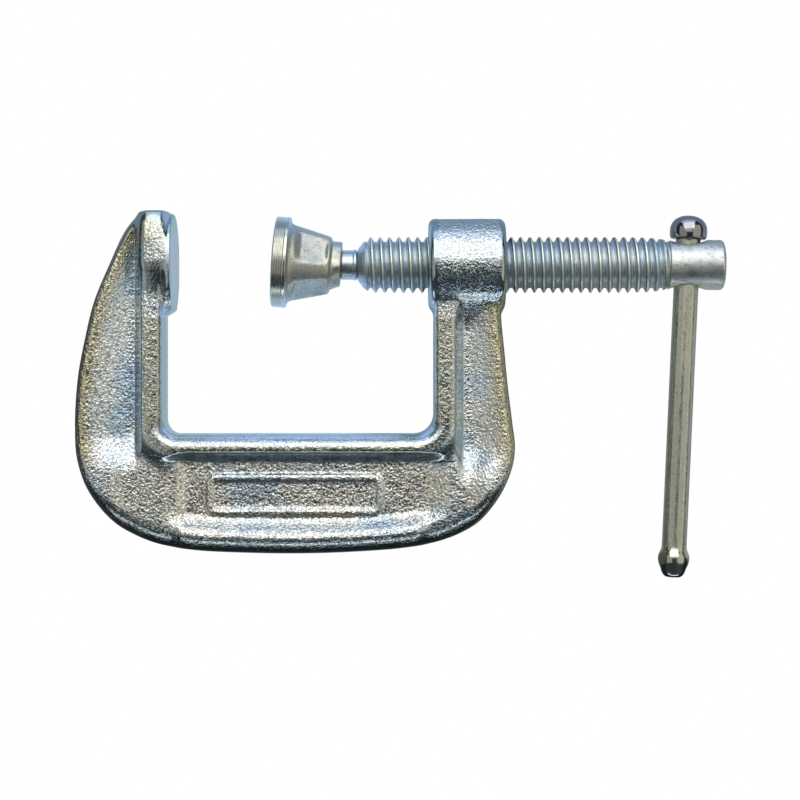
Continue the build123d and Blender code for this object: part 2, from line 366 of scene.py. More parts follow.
def cast_zinc():
    m, nt, b = material("cast_zinc_plate")
    v = coords(nt)
    skin_and_shade = nt.nodes.new("ShaderNodeAttribute")
    skin_and_shade.attribute_name = "skin_and_shade"
    skin_and_shade = skin_and_shade.outputs["Fac"]
    straw = nt.nodes.new("ShaderNodeAttribute")
    straw.attribute_name = "straw"
    straw = straw.outputs["Fac"]
    big = noise_node(nt, 95, 2.0, 0.5, v)
    mid = noise_node(nt, 480, 3.0, 0.6, v)
    worm = noise_node(nt, 2200, 1.0, 0.5, v, 0.4)
    fine = noise_node(nt, 4300, 1.0, 0.5, v)
    # zinc passivation drifts from blue through silver to straw and violet
    tint = ramp(nt, big, [(0.34, (0.56, 0.68, 0.82)), (0.46, (0.78, 0.81, 0.83)),
                          (0.60, (0.82, 0.81, 0.76)), (0.72, (0.72, 0.66, 0.70))])
    gold = ramp(nt, mid, [(0.34, (0.56, 0.50, 0.32)), (0.50, (0.72, 0.67, 0.43)), (0.66, (0.64, 0.50, 0.44))])
    tint = mixed(nt, spread(nt, straw, 0.0, 0.85), tint, gold)
    # painted shade: steep walls (low skin values) get this darker blue-grey colour, the tops the lighter tint
    wall_shade = ramp(nt, mid, [(0.35, (0.44, 0.56, 0.64)), (0.65, (0.58, 0.68, 0.76))])
    wall_shade = mixed(nt, spread(nt, straw, 0.0, 0.75), wall_shade, (0.40, 0.38, 0.24))
    col = mixed(nt, skin_and_shade, wall_shade, tint)
    # painted shade line: a dark band multiplied into the colour where the skin value is near 0.24, at the turn from
    # the tops into the walls
    painted_edge_shade = ramp(nt, skin_and_shade, [(0.12, (1, 1, 1)), (0.24, (0.46, 0.42, 0.34)), (0.38, (1, 1, 1))])
    col = mixed(nt, 0.75, col, painted_edge_shade, "MULTIPLY")
    dirt = ramp(nt, worm, [(0.30, (0.42, 0.42, 0.40)), (0.47, (1, 1, 1))])
    nt.links.new(mixed(nt, spread(nt, skin_and_shade, 0.15, 0.7), col, dirt, "MULTIPLY"), b.inputs["Base Color"])
    nt.links.new(spread(nt, mid, 0.12, 0.22, 0.3, 0.7), b.inputs["Roughness"])
    # separate little peaks and pits on a nearly flat skin
    peaks = ramp(nt, worm, [(0.36, (0.0, 0.0, 0.0)), (0.45, (0.42, 0.42, 0.42)), (0.56, (0.50, 0.50, 0.50)), (0.68, (1, 1, 1))])
    g = nt.nodes.new("ShaderNodeMath")
    g.operation = "MULTIPLY_ADD"
    nt.links.new(fine, g.inputs[0])
    g.inputs[1].default_value = 0.26
    nt.links.new(peaks, g.inputs[2])
    n = nt.nodes.new("ShaderNodeBump")
    n.inputs["Distance"].default_value = 0.000105
    nt.links.new(spread(nt, skin_and_shade, 0.08, 1.0), n.inputs["Strength"])
    nt.links.new(g.outputs[0], n.inputs["Height"])
    nt.links.new(n.outputs["Normal"], b.inputs["Normal"])
    return m


def machined_zinc():
    m, nt, b = material("machined_zinc_plate")
    v = coords(nt)
    sep = nt.nodes.new("ShaderNodeSeparateXYZ")
    nt.links.new(v, sep.inputs[0])
    drift = noise_node(nt, 130, 2.0, 0.5, v)
    up = nt.nodes.new("ShaderNodeMath")
    up.operation = "MULTIPLY_ADD"
    nt.links.new(sep.outputs["Y"], up.inputs[0])
    up.inputs[1].default_value = 55.0
    nt.links.new(drift, up.inputs[2])
    col = ramp(nt, up.outputs[0], [(0.12, (0.42, 0.62, 0.58)), (0.40, (0.56, 0.64, 0.64)), (0.55, (0.66, 0.58, 0.66)),
                                   (0.72, (0.54, 0.66, 0.68)), (0.95, (0.48, 0.62, 0.54))])
    nt.links.new(col, b.inputs["Base Color"])
    fine = noise_node(nt, 2600, 2.0, 0.6, v)
    nt.links.new(spread(nt, fine, 0.20, 0.32, 0.3, 0.7), b.inputs["Roughness"])
    nt.links.new(bump(nt, fine, 0.3, 0.00002), b.inputs["Normal"])
    return m


def smooth_zinc(name, light, dark, rough, streak=None, grain=0.25, along=None, painted_highlight=None, speck=0.0,
                painted_groove_shade=None):
    m, nt, b = material(name)
    v = coords(nt)
    if along:
        mp = nt.nodes.new("ShaderNodeMapping")
        mp.inputs["Scale"].default_value = along
        nt.links.new(v, mp.inputs["Vector"])
        vs = mp.outputs["Vector"]
    else:
        vs = v
    big = noise_node(nt, 120, 2.0, 0.5, v)
    mid = noise_node(nt, 700, 3.0, 0.6, vs)
    fine = noise_node(nt, 3200, 2.0, 0.6, vs)
    col = ramp(nt, big, [(0.32, dark), (0.66, light)])
    col = mixed(nt, spread(nt, mid, 0.0, 0.3, 0.4, 0.7), col, streak or dark)
    rough_v = spread(nt, mid, rough - 0.07, rough + 0.09, 0.3, 0.7)
    # painted highlight: the given colour is mixed in where this attribute is high
    if painted_highlight:
        at = nt.nodes.new("ShaderNodeAttribute")
        at.attribute_name = "painted_highlight"
        col = mixed(nt, at.outputs["Fac"], col, painted_highlight)
    # painted shade: a dark colour mixed in where this attribute is high
    if painted_groove_shade:
        at = nt.nodes.new("ShaderNodeAttribute")
        at.attribute_name = "painted_groove_shade"
        col = mixed(nt, at.outputs["Fac"], col, painted_groove_shade)
    if speck:
        spots = ramp(nt, noise_node(nt, 2600, 1.0, 0.5, vs), [(0.33, (0.45, 0.45, 0.45)), (0.43, (1, 1, 1))])
        col = mixed(nt, speck, col, spots, "MULTIPLY")
    nt.links.new(col, b.inputs["Base Color"])
    nt.links.new(rough_v, b.inputs["Roughness"])
    n = bump(nt, mid, grain, 0.00003)
    n = bump(nt, fine, grain + speck, 0.00002, n)
    nt.links.new(n, b.inputs["Normal"])
    return m


M_CAST = cast_zinc()
M_FACE = machined_zinc()
M_SCREW = smooth_zinc("screw_zinc_plate", (0.70, 0.76, 0.79), (0.56, 0.66, 0.72), 0.42,
                      streak=(0.42, 0.52, 0.56), painted_highlight=(1.0, 0.97, 0.88), speck=0.3, painted_groove_shade=(0.10, 0.13, 0.15))
M_HEAD = smooth_zinc("screw_head_zinc_plate", (0.76, 0.76, 0.72), (0.60, 0.64, 0.66), 0.40,
                     streak=(0.46, 0.44, 0.36), grain=1.0, along=(0.45, 1.0, 1.0), speck=0.6)
M_NECK = smooth_zinc("neck_zinc_plate", (0.66, 0.69, 0.70), (0.50, 0.56, 0.58), 0.30,
                     streak=(0.40, 0.46, 0.48), grain=0.6, speck=0.4)
M_PAD = smooth_zinc("pad_zinc_plate", (0.62, 0.61, 0.53), (0.50, 0.54, 0.60), 0.42,
                    streak=(0.40, 0.37, 0.30), grain=1.0, speck=0.5)
M_RIM = smooth_zinc("pad_rim_zinc_plate", (0.74, 0.72, 0.62), (0.60, 0.64, 0.66), 0.20,
                    streak=(0.54, 0.54, 0.46), grain=0.12)
M_BAR = smooth_zinc("bar_zinc_plate", (0.52, 0.51, 0.44), (0.43, 0.46, 0.44), 0.27,
                    streak=(0.38, 0.40, 0.38), grain=0.6, along=(1.6, 0.55, 1.6), speck=0.45, painted_highlight=(0.90, 0.86, 0.70))
M_END = smooth_zinc("bar_end_zinc_plate", (0.66, 0.64, 0.54), (0.50, 0.50, 0.46), 0.16,
                    streak=(0.40, 0.39, 0.34), grain=0.15)
M_KNOB = smooth_zinc("bar_head_polished", (0.42, 0.41, 0.42), (0.34, 0.34, 0.37), 0.10,
                     streak=(0.30, 0.29, 0.30), grain=0.08)

# ------------------------------------------------------------------ frame
G = 0.21
LO = np.array([-18.0, -50.2, -8.88])
SHAPE = (int(77.5 / G), int(61.0 / G), int(17.76 / G) + 1)
gx = LO[0] + G * np.arange(SHAPE[0])
gy = LO[1] + G * np.arange(SHAPE[1])
gz = LO[2] + G * np.arange(SHAPE[2])
PP = np.stack(np.meshgrid(gx, gy, indexing="ij"), -1).reshape(-1, 2).astype(f32)

outer_curve = catmull(OUTSIDE, False, 10)
inner_line = np.vstack([arc(1.15, -25.9, 2.6, 180, 270), arc(40.5, -25.2, 3.3, 270, 360)])
inner_path = np.vstack([[(TL, 12.0)], [(TL, -9.45)], inner_line, [(TR, -3.0)], [(TR, 12.0)]])
plan = np.vstack([[(0.0, 12.0)], [(0.0, JAW_TOP)], outer_curve, [(55.35, 12.0)], [(TR, 12.0)],
                  inner_line[::-1], [(TL, -9.45)], [(TL, 12.0)]])
# outside: distance in from the outer outline alone
outer_line = np.vstack([[(2.0, JAW_TOP)], outer_curve, [(55.35, 12.0)]])
outer_poly = np.vstack([outer_line, [(2.0, 12.0)]])


def signed(P, poly, line=None):
    d = distance(P, line if line is not None else poly, line is None)
    return np.where(inside(P, poly), d, -d)


throat_poly = np.vstack([inner_path, [(TR, 14.0)], [(TL, 14.0)]])
outer_closed = np.vstack([[(2.0, JAW_TOP)], outer_curve, [(55.35, 14.0)], [(2.0, 14.0)]])
D_OUT = signed(PP, outer_closed, outer_line) - 0.03
D_IN = -signed(PP, throat_poly, inner_path)
pockets = [catmull(p, True, 8) for p in (JAW_POCKET, SPINE_POCKET, SCREW_POCKET)]
D_POCK = np.max([signed(PP, p) for p in pockets], 0)


def half_thickness(P, d_out, d_in, d_pock):
    x, y = P[:, 0], P[:, 1]
    right = smooth((x - 40.0) / 6.0)
    b = np.clip(d_out - 0.8, 0, None)

    def slope(a, reach):
        u = b / np.maximum(np.clip(a, 0, None) + b, 0.5)
        return 0.55 * smooth(u / reach) + 0.45 * np.clip(u / (reach - 0.06), 0, 1)

    def corner(*parts):
        # soft product of several ramps, with rounded corners where two of them meet
        q = sum((1 - np.clip(p, 0, 1)) ** 2 for p in parts)
        return smooth(1 - np.sqrt(q))

    # jaw arm: wall at the bead, long slope in from the outer rim, narrow top, soft foot
    a = -4.85 - x
    jaw = corner(a / 1.7, (y + 35.5) / 7.5) * slope(a, 0.86) * smooth((np.clip(a, 0, None) + b) / 5.5)
    # screw arm
    a = x - 47.3
    scr = corner(a / 1.8, (y + 38.0) / 8.0, (-5.6 - y) / 5.5) * slope(a, 0.74)
    # spine: steep wall, flat floor, soft ends
    spi = corner((-31.3 - y) / 2.3, (x + 2.6) / 5.5, (47.4 - x) / 5.5) * smooth((d_out - 2.3) / 4.0)
    k = np.clip(jaw + scr + spi, 0, 1)
    turn_in = smooth((-26.5 - y) / 3.0) * (smooth((2.2 - x) / 3.0) * smooth((x + 11.5) / 4.5)
                                           + smooth((x - 40.6) / 3.0) * smooth((53.5 - x) / 4.5))
    top = BEAD - (BEAD - RIM + 0.35 * right * smooth((y + 34) / 8.0)) * smooth((d_in - 3.0) / (2.0 + 2.0 * turn_in))
    top = top - 1.05 * turn_in * smooth((d_in - 2.9) / 4.4)
    H = top - (top - WEB) * k
    # crown of the bead, rounder along the spine
    low = smooth((-26.0 - y) / 2.0)
    H = H - (0.22 + 1.53 * low) * np.clip(1 - d_in / (1.7 + 0.9 * low), 0, 1) ** 2
    H = H - 0.12 * np.clip(1 - np.abs(d_in - 3.2) / 1.4, 0, 1) ** 2
    # plain raised cartouche in the spine pocket
    q = np.abs(P - np.array([20.5, -38.9], f32)) - np.array([13.0, 1.6], f32)
    r = np.sqrt((np.clip(q, 0, None) ** 2).sum(1)) + np.minimum(q.max(1), 0) - 1.3
    ring = 0.55 - np.abs(r)
    H = H + 0.42 * smooth(0.5 + ring / 0.9)
    return H


H2 = half_thickness(PP, D_OUT, D_IN, D_POCK)
FIELDS = [a.reshape(SHAPE[:2]).astype(f32) for a in (D_OUT, D_IN, H2)]


def frame_form(x, y, z, d_out, d_in, H):
    az = np.abs(z)
    b = (H - az) * 0.9
    low = smooth((-36.0 - y) / 9.0)
    F = both(d_out - 0.07 * az, b, 1.7 + 2.4 * low)
    F = both(F, d_in - 0.05 * az, 0.80 + 0.55 * smooth((-25.0 - y) / 3.0))
    rho = np.sqrt(y * y + z * z)
    # anvil: an oval block behind the clamping face
    back = np.clip(-x - 1.5, 0, None)
    w = smooth((-x - 0.4) / 1.4)
    p = 2.0 + 1.3 * smooth((-x - 0.1) / 3.6) * smooth((y + 2.0) / 6.0)
    tall = 8.6 + 2.2 * w * smooth(y / 3.0)
    oval = (np.abs(y / tall) ** p + np.abs(z / 7.0) ** p) ** (1 / p)
    crown = ANVIL_CUT - 0.02 - w * (0.12 + 0.010 * np.clip(y - 1.5, 0, 5.0) ** 2
                               + 0.075 * np.clip(-x - 3.1, 0, 3.0) ** 2
                               + 0.44 * (np.sqrt(np.clip(0.9 - y, 0, 5.9) ** 2 + 0.5) - 0.707))
    a = both(7.4 * (1 - oval) - 0.16 * back, 0.92 * (crown - az), 0.8 + 0.0 * x)
    a = both(a, x + 6.0, 1.9)
    F = np.where(x < 12, both(either(F, a, 0.8), 8.89 - y, 0.4), F)
    F = np.where((x < 12) & (y > -9.3), both(F, np.minimum(-x, 0.76 * (-x + 0.853 * (y + 7.6))), 0.3), F)
    # boss
    F = np.where(x > 38, both(F, -4.0 - y, 1.0), F)
    ends = np.minimum(x - BOSS0, BOSS1 - x)
    s = both(BOSS_R - rho, ends - 0.02, 1.15)
    F = np.where(x > 38, either(F, s, 1.0), F)
    F = np.where((x > 38) & (y > -12), np.minimum(F, ends - 0.01), F)
    cs = np.clip(1.0 - ends, 0, None)
    bore = rho - (4.86 + 0.6 * cs)
    F = np.where(x > 20, both(F, bore, 0.15), F)
    return F


def frame_at(P):
    """frame_form at free points, with the plan fields read between grid points."""
    u = (P[:, :2] - LO[:2]) / G
    i = np.clip(np.floor(u).astype(int), 0, np.array(SHAPE[:2]) - 2)
    t = u - i
    out = []
    for f in FIELDS:
        a = f[i[:, 0], i[:, 1]] * (1 - t[:, 0]) + f[i[:, 0] + 1, i[:, 1]] * t[:, 0]
        c = f[i[:, 0], i[:, 1] + 1] * (1 - t[:, 0]) + f[i[:, 0] + 1, i[:, 1] + 1] * t[:, 0]
        out.append(a * (1 - t[:, 1]) + c * t[:, 1])
    return frame_form(P[:, 0], P[:, 1], P[:, 2], *out)


VOL = frame_form(gx[:, None, None].astype(f32), gy[None, :, None].astype(f32),
                 gz[None, None, :].astype(f32), *[f[:, :, None] for f in FIELDS])
fv, ff = nets(VOL, LO, G)
fv, fn = settle(fv, frame_at)
# the cast skin: shallow bumps, none on the machined faces; finer grain is in the material. The skin value also paints
# shade into the colour: it is low on steep walls, which get the darker blue-grey wall colour.
rho = np.hypot(fv[:, 1], fv[:, 2])
ends = np.minimum(fv[:, 0] - BOSS0, BOSS1 - fv[:, 0])
on_boss = smooth((ends + 0.2) / 0.3) * (fv[:, 1] > -6.4)
face = smooth((fv[:, 0] + 0.45) / 0.3) * (np.abs(fv[:, 0]) < 3) * (fv[:, 1] > -9)
bore_wall = smooth((5.75 - rho) / 0.3) * (fv[:, 0] > 40)
steep = smooth((np.abs(fn[:, 2]) - 0.66) / 0.30)
u2 = (fv[:, :2] - LO[:2]) / G
i2 = np.clip(np.floor(u2).astype(int), 0, np.array(SHAPE[:2]) - 2)
dout_v, din_v = (f[i2[:, 0], i2[:, 1]] for f in FIELDS[:2])
at_wall = smooth((din_v - 2.3) / 0.6) * smooth((dout_v - 2.4) / 0.8) * (1 - smooth((-39.5 - fv[:, 1]) / 2.0))
edges = smooth((np.abs(fn[:, 2]) - 0.22) / 0.3)
boss_edge = np.minimum((fv[:, 0] - BOSS0 - 1.25) / 0.5, (BOSS1 - fv[:, 0] - 0.75) / 0.5) + 0.5 * noise(fv, 0.9, 8)
# high on faces turned up or down, low on steep walls: this sets the bumps and also the painted wall shade
skin_and_shade = np.where(on_boss > 0.5, smooth(boss_edge), edges + (np.minimum(edges, steep) - edges) * at_wall)
# jaw block top: skin value high above y = 0.8 and low below it, painting the top lighter and the lower part darker:
# painted light and shade
jaw = smooth((fv[:, 1] + 6.0) / 0.8) * smooth((fv[:, 0] + 6.2) / 0.6) * smooth((7.5 - fv[:, 1] + 0.6 * noise(fv, 1.3, 10)) / 1.2) * (fv[:, 0] < 3)
# boss: lower skin value on its lower half, so that half is painted darker than the upper one, as shade on the side
# toward -Y
skin_and_shade = np.where(on_boss > 0.5, (0.74 - 0.26 * smooth((1.3 - fv[:, 1]) / 0.9)) * skin_and_shade, skin_and_shade)
jaw = jaw * smooth((-1.0 - fv[:, 0]) / 0.4) * smooth((fv[:, 0] + 4.5 + 0.3 * noise(fv, 1.1, 9)) / 0.4)
# anvil block: its sloping faces get a low skin value, so the darker wall colour: painted shade
skin_and_shade = np.where((fv[:, 1] > -4.6) & (fv[:, 0] > -6.2) & (fv[:, 0] < 3) & (fn[:, 2] ** 2 > 0.02), 0.10, skin_and_shade)
skin_and_shade = skin_and_shade + (0.90 - 0.62 * smooth((0.8 - fv[:, 1]) / 0.8) - skin_and_shade) * jaw
rim_w = 0.7 + 1.1 * smooth((fv[:, 1] - 0.0) / 7.0)
# low skin values along the outer edge of the jaw arm: a painted shade band in the wall colour
skin_and_shade = np.where((fv[:, 1] > -2) & (fv[:, 0] < 20), skin_and_shade * smooth((dout_v - rim_w) / 0.5), skin_and_shade)
# the corner turns, the bottom outer rim and the beads get lower skin values: a smoother skin, and also painted darker
# with the wall colour
bend = smooth((-27.5 - fv[:, 1]) / 2.0) * (smooth((0.0 - fv[:, 0]) / 2.0) + smooth((fv[:, 0] - 43.0) / 2.0))
bend = bend * smooth((din_v - 2.8) / 0.8) * (1 - smooth((din_v - 5.8) / 1.6))
skin_and_shade = skin_and_shade * (1 - 0.62 * bend)
bottom_rim_smooth_shade = smooth((2.9 - dout_v) / 1.0) * smooth((-34.0 - fv[:, 1]) / 6.0)
skin_and_shade = skin_and_shade * (1 - 0.70 * bottom_rim_smooth_shade)
on_bead = (1 - smooth((din_v - 3.0) / 0.8)) * (fv[:, 1] < -9)
skin_and_shade = np.clip(skin_and_shade * (1 - 0.45 * on_bead) * (1 - face) * (1 - bore_wall), 0, 1)
# straw tint: outer slopes of the two arms, and their beads
arm_v = 1 - smooth((-30.0 - fv[:, 1]) / 8.0)
straw = arm_v * np.maximum(1 - smooth((dout_v - 1.6) / 2.6), 0.75 * on_bead)
tip = smooth((fv[:, 1] - 0.5) / 4.0) * (fv[:, 0] < 5) * smooth((fv[:, 0] + 6.8) / 0.8)
straw = straw + tip * (0.45 + 0.35 * smooth((-fv[:, 0] - 2.6) / 1.6) - straw)
spine_bead = (1 - smooth((din_v - 2.0) / 0.6)) * smooth((-26.5 - fv[:, 1]) / 1.5)
straw = straw * (1 - spine_bead)
straw = np.where(on_boss > 0.5, 0.12 + 0.5 * (1 - smooth((ends - 0.3) / 0.9)), np.maximum(straw, 0.25 * (1 - arm_v)))
grain = 0.35 * noise(fv, 1.25, 4) + 0.5 * noise(fv, 2.6, 5) + 0.6 * noise(fv, 6.5, 6)
fv = fv + fn * ((grain * 0.05 - 0.05) * (0.25 + 0.75 * skin_and_shade) * (1 - 0.6 * bottom_rim_smooth_shade) * (1 - face) * (1 - bore_wall))[:, None]
c_frame = build("c_frame_casting", fv, ff, "frame", "c_frame", M_CAST)
c_frame.data.materials.append(M_FACE)


def store(obj, name, values):
    at = obj.data.attributes.new(name, "FLOAT", "POINT")
    at.data.foreach_set("value", np.asarray(values, np.float32))


store(c_frame, "skin_and_shade", skin_and_shade)
store(c_frame, "straw", np.clip(straw, 0, 1))
flat_face = face[ff].mean(1) > 0.6
c_frame.data.polygons.foreach_set("material_index", flat_face.astype(np.int32))


# ------------------------------------------------------------------ lathe work
def lathe(profile, n, shape=None):
    """A closed (x, r) profile turned round +X. Points at r = 0 become poles by welding."""
    p = np.asarray(profile, float)
    a = np.linspace(0, 2 * np.pi, n, endpoint=False)
    x = np.repeat(p[:, 0][:, None], n, 1)
    r = np.repeat(p[:, 1][:, None], n, 1)
    if shape is not None:
        x, r = shape(x, r, a[None, :])
    v = np.stack([x, r * np.cos(a), r * np.sin(a)], -1).reshape(-1, 3)
    m = len(p)
    i, j = np.meshgrid(np.arange(m - 1), np.arange(n), indexing="ij")
    i, j = i.ravel(), j.ravel()
    k = (j + 1) % n
    return v, np.stack([i * n + j, (i + 1) * n + j, (i + 1) * n + k, i * n + k], 1)


def rounded(points, radii, step=0.12, n=5):
    """A polyline with its corners rounded and its runs divided."""
    p = [np.array(q, float) for q in points]
    out = [p[0]]
    for i in range(1, len(p) - 1):
        r = radii[i]
        a, b, c = p[i - 1], p[i], p[i + 1]
        u, w = (a - b) / np.linalg.norm(a - b), (c - b) / np.linalg.norm(c - b)
        ang = math.acos(np.clip(u @ w, -1, 1))
        if r <= 0 or ang > 3.1:
            out.append(b)
            continue
        d = min(r / math.tan(ang / 2), 0.45 * np.linalg.norm(a - b), 0.45 * np.linalg.norm(c - b))
        s, e = b + u * d, b + w * d
        for t in np.linspace(0, 1, n):
            out.append((1 - t) ** 2 * s + 2 * t * (1 - t) * b + t * t * e)
    out.append(p[-1])
    fine = [out[0]]
    for q in out[1:]:
        k = max(1, int(np.linalg.norm(q - fine[-1]) / step))
        s = fine[-1]
        for t in np.linspace(0, 1, k + 1)[1:]:
            fine.append(s + (q - s) * t)
    return np.array(fine)


# ------------------------------------------------------------------ screw: thread
N = 144
ROWS = 22
PHASE = -0.36
rows_x = PHASE + np.arange(int((TH1 - TH0 + 7 * PITCH) / PITCH * ROWS)) * PITCH / ROWS + TH0 - 3 * PITCH
ang = np.linspace(0, 2 * np.pi, N, endpoint=False)
# angle 0 is +Y; the crest is at x = TH0 + PITCH * angle / 2 pi + k * PITCH
X = rows_x[:, None] + PITCH * ang[None, :] / (2 * np.pi)
ph = ((rows_x - TH0 - PHASE) / PITCH + 0.5) % 1.0 - 0.5
ax_ = np.abs(ph) * PITCH
# rolled form: small flat crest with a faint groove, straight flanks, rounded root
form = np.interp(ax_, [0.0, 0.05, 0.10, 0.15, 0.54, 0.62, 0.70, 0.80],
                 [MAJOR - 0.012, MAJOR - 0.004, MAJOR, MAJOR - 0.07, MINOR + 0.055, MINOR + 0.01, MINOR, MINOR])
R = np.repeat(form[:, None], N, 1)
env = np.interp(X, [TH0 - 0.1, TH0, TH0 + 1.15, TH1 - 7.5, TH1 - 3.2, TH1 - 0.8, TH1, TH1 + 1],
                [MINOR - 0.10, MINOR - 0.05, MAJOR + 0.05, MAJOR, MAJOR - 0.14, HEAD_R + 0.06, MINOR - 0.07, MINOR - 0.07])
R = np.minimum(R, env)
wob = np.random.default_rng(11)
R = R - 0.010 * (1 + noise(np.stack([X.ravel(), R.ravel() * np.cos(np.tile(ang, len(rows_x))),
                                     R.ravel() * np.sin(np.tile(ang, len(rows_x)))], 1), 1.3, 12)
                 .reshape(R.shape))
X = np.clip(X, TH0, TH1)
verts = np.stack([X, R * np.cos(ang), R * np.sin(ang)], -1).reshape(-1, 3)
m = len(rows_x)
i, j = np.meshgrid(np.arange(m - 1 - ROWS), np.arange(N), indexing="ij")
i, j = i.ravel(), j.ravel()
last = j == N - 1
k = np.where(last, 0, j + 1)
s = np.where(last, ROWS, 0)
quads = np.stack([i * N + j, (i + 1) * N + j, (i + 1 + s) * N + k, (i + s) * N + k], 1)
# drop quads squashed against the two ends
qx = verts[quads][:, :, 0]
quads = quads[(qx.max(1) - qx.min(1)) > 1e-6]
thread_v, thread_f = verts, quads

# head and cross hole
HG = 0.11
HLO = np.array([TH1 - 0.35, -5.0, -5.0])
HS = (int((HEAD1 + 0.35 - HLO[0]) / HG) + 1, int(10.0 / HG) + 1, int(10.0 / HG) + 1)


def head_form(x, y, z):
    rho = np.sqrt(y * y + z * z)
    F = both(HEAD_R - rho, HEAD1 - 0.01 - x, 0.6)
    F = both(F, x - TH1, 0.12)
    q = np.sqrt((x - CROSS_X) ** 2 + z * z)
    mouth = CROSS_R + np.clip(np.abs(y) - 3.3, 0, None) * 0.9
    return both(F, q - mouth, 0.12)


hx = HLO[0] + HG * np.arange(HS[0])
hy = HLO[1] + HG * np.arange(HS[1])
hz = HLO[2] + HG * np.arange(HS[2])
hv, hf = nets(head_form(hx[:, None, None], hy[None, :, None], hz[None, None, :]), HLO, HG)
hv, hn = settle(hv, lambda P: head_form(P[:, 0], P[:, 1], P[:, 2]), limit=0.05, e=0.01)
hv = hv - hn * (0.006 + 0.006 * noise(hv, 1.1, 21))[:, None]

cone_v, cone_f = lathe(rounded([(TH0 + 0.4, 0), (TH0 + 0.4, MINOR - 0.14), (TH0 - 0.02, MINOR - 0.08),
                                (31.15, 2.78), (30.93, 2.2), (30.93, 1.63), (34.0, 1.63), (34.0, 0)],
                               [0, 0.05, 0.1, 0.12, 0, 0, 0, 0]), N)
sv = np.vstack([thread_v, hv, cone_v])
sf = np.vstack([thread_f, hf + len(thread_v), cone_f + len(thread_v) + len(hv)])
screw = build("clamp_screw_rolled", sv, sf, "screw", "clamp_screw", M_SCREW, weld=0.002)


def points(obj):
    co = np.empty(len(obj.data.vertices) * 3)
    obj.data.vertices.foreach_get("co", co)
    return co.reshape(-1, 3) / MM


def dress(obj, extra, pick):
    """Give the faces picked by their mean position one of the extra materials."""
    for one in extra:
        obj.data.materials.append(one)
    co = points(obj)
    mid = np.array([co[list(f.vertices)].mean(0) for f in obj.data.polygons])
    obj.data.polygons.foreach_set("material_index", pick(mid).astype(np.int32))


co = points(screw)
# painted highlight: a near-white line along each thread crest
store(screw, "painted_highlight", smooth((np.hypot(co[:, 1], co[:, 2]) - 4.52) / 0.14) * (co[:, 0] < TH1 - 0.5))
# painted shade: a dark line on one flank beside each crest and a weaker one along the root
turn_ph = ((co[:, 0] - TH0 - PHASE) / PITCH - np.arctan2(co[:, 2], co[:, 1]) / (2 * np.pi) + 0.5) % 1.0 - 0.5
store(screw, "painted_groove_shade", (np.exp(-((turn_ph + 0.135) / 0.050) ** 2) + 0.55 * np.exp(-((np.abs(turn_ph) - 0.5) / 0.06) ** 2))
      * (np.hypot(co[:, 1], co[:, 2]) > 3.7) * (co[:, 0] > TH0 + 0.3) * (co[:, 0] < TH1 - 0.5))
dress(screw, [M_HEAD], lambda q: q[:, 0] > TH1 - 0.25)

# ------------------------------------------------------------------ ball tip
tip_prof = [(21.8, 0)] + [(BALL_X - 3.2 * math.cos(t), 3.2 * math.sin(t))
                          for t in np.linspace(0.06, math.pi - math.asin(2.2 / 3.2), 40)]
tip_prof += [(27.7, 2.2), (28.05, 2.22), (28.35, 2.5)]
tip_prof += list(map(tuple, rounded([(28.35, 2.5), (30.22, 2.5), (30.42, 2.61), (30.74, 2.61), (30.9, 2.48),
                                    (30.9, 1.6), (34.1, 1.6), (34.4, 1.3), (34.4, 0)],
                                   [0, 0.1, 0.1, 0.1, 0.05, 0, 0.1, 0.1, 0])[1:]))
tv, tf = lathe(tip_prof, 128)
tip = build("ball_tip_neck", tv, tf, "tip", "ball_tip", M_NECK, weld=0.002)

# ------------------------------------------------------------------ swivel pad
PF = -8.2
rim = [(PF, 0), (PF, 7.30), (PF + 0.10, 7.56), (PF + 0.26, 7.69)]
for g in range(4):
    c = PF + 0.50 + 0.40 * g
    rim += [(c - 0.12, 7.69), (c - 0.07, 7.58), (c, 7.50), (c + 0.07, 7.58), (c + 0.12, 7.69)]
rim += [(PF + 2.36, 7.69), (PF + 2.46, 7.62), (PF + 2.5, 7.5), (PF + 2.52, 7.0)]
flare = catmull([(PF + 2.52, 7.0), (PF + 2.70, 6.74), (PF + 3.2, 6.46), (PF + 4.6, 6.08), (PF + 6.0, 5.74), (PF + 7.5, 5.36),
                 (PF + 9.1, 4.94), (PF + 9.45, 4.78), (PF + 9.66, 4.50), (PF + 9.8, 4.26), (PF + 10.1, 4.20), (PF + 10.7, 4.20),
                 (3.02, 4.18), (3.14, 4.12), (3.19, 3.98)], False, 6)
sock = [(3.19, 3.14), (3.1, 3.06), (1.93, 2.66)] + [(3.27 * math.cos(t), 3.27 * math.sin(t))
                                        for t in np.linspace(math.asin(2.66 / 3.27) + 0.03, math.pi - 0.03, 40)] + [(-3.27, 0)]
pad_prof = rounded(rim, [0] * len(rim), step=0.2)
pad_prof = np.vstack([pad_prof, flare[1:], sock])


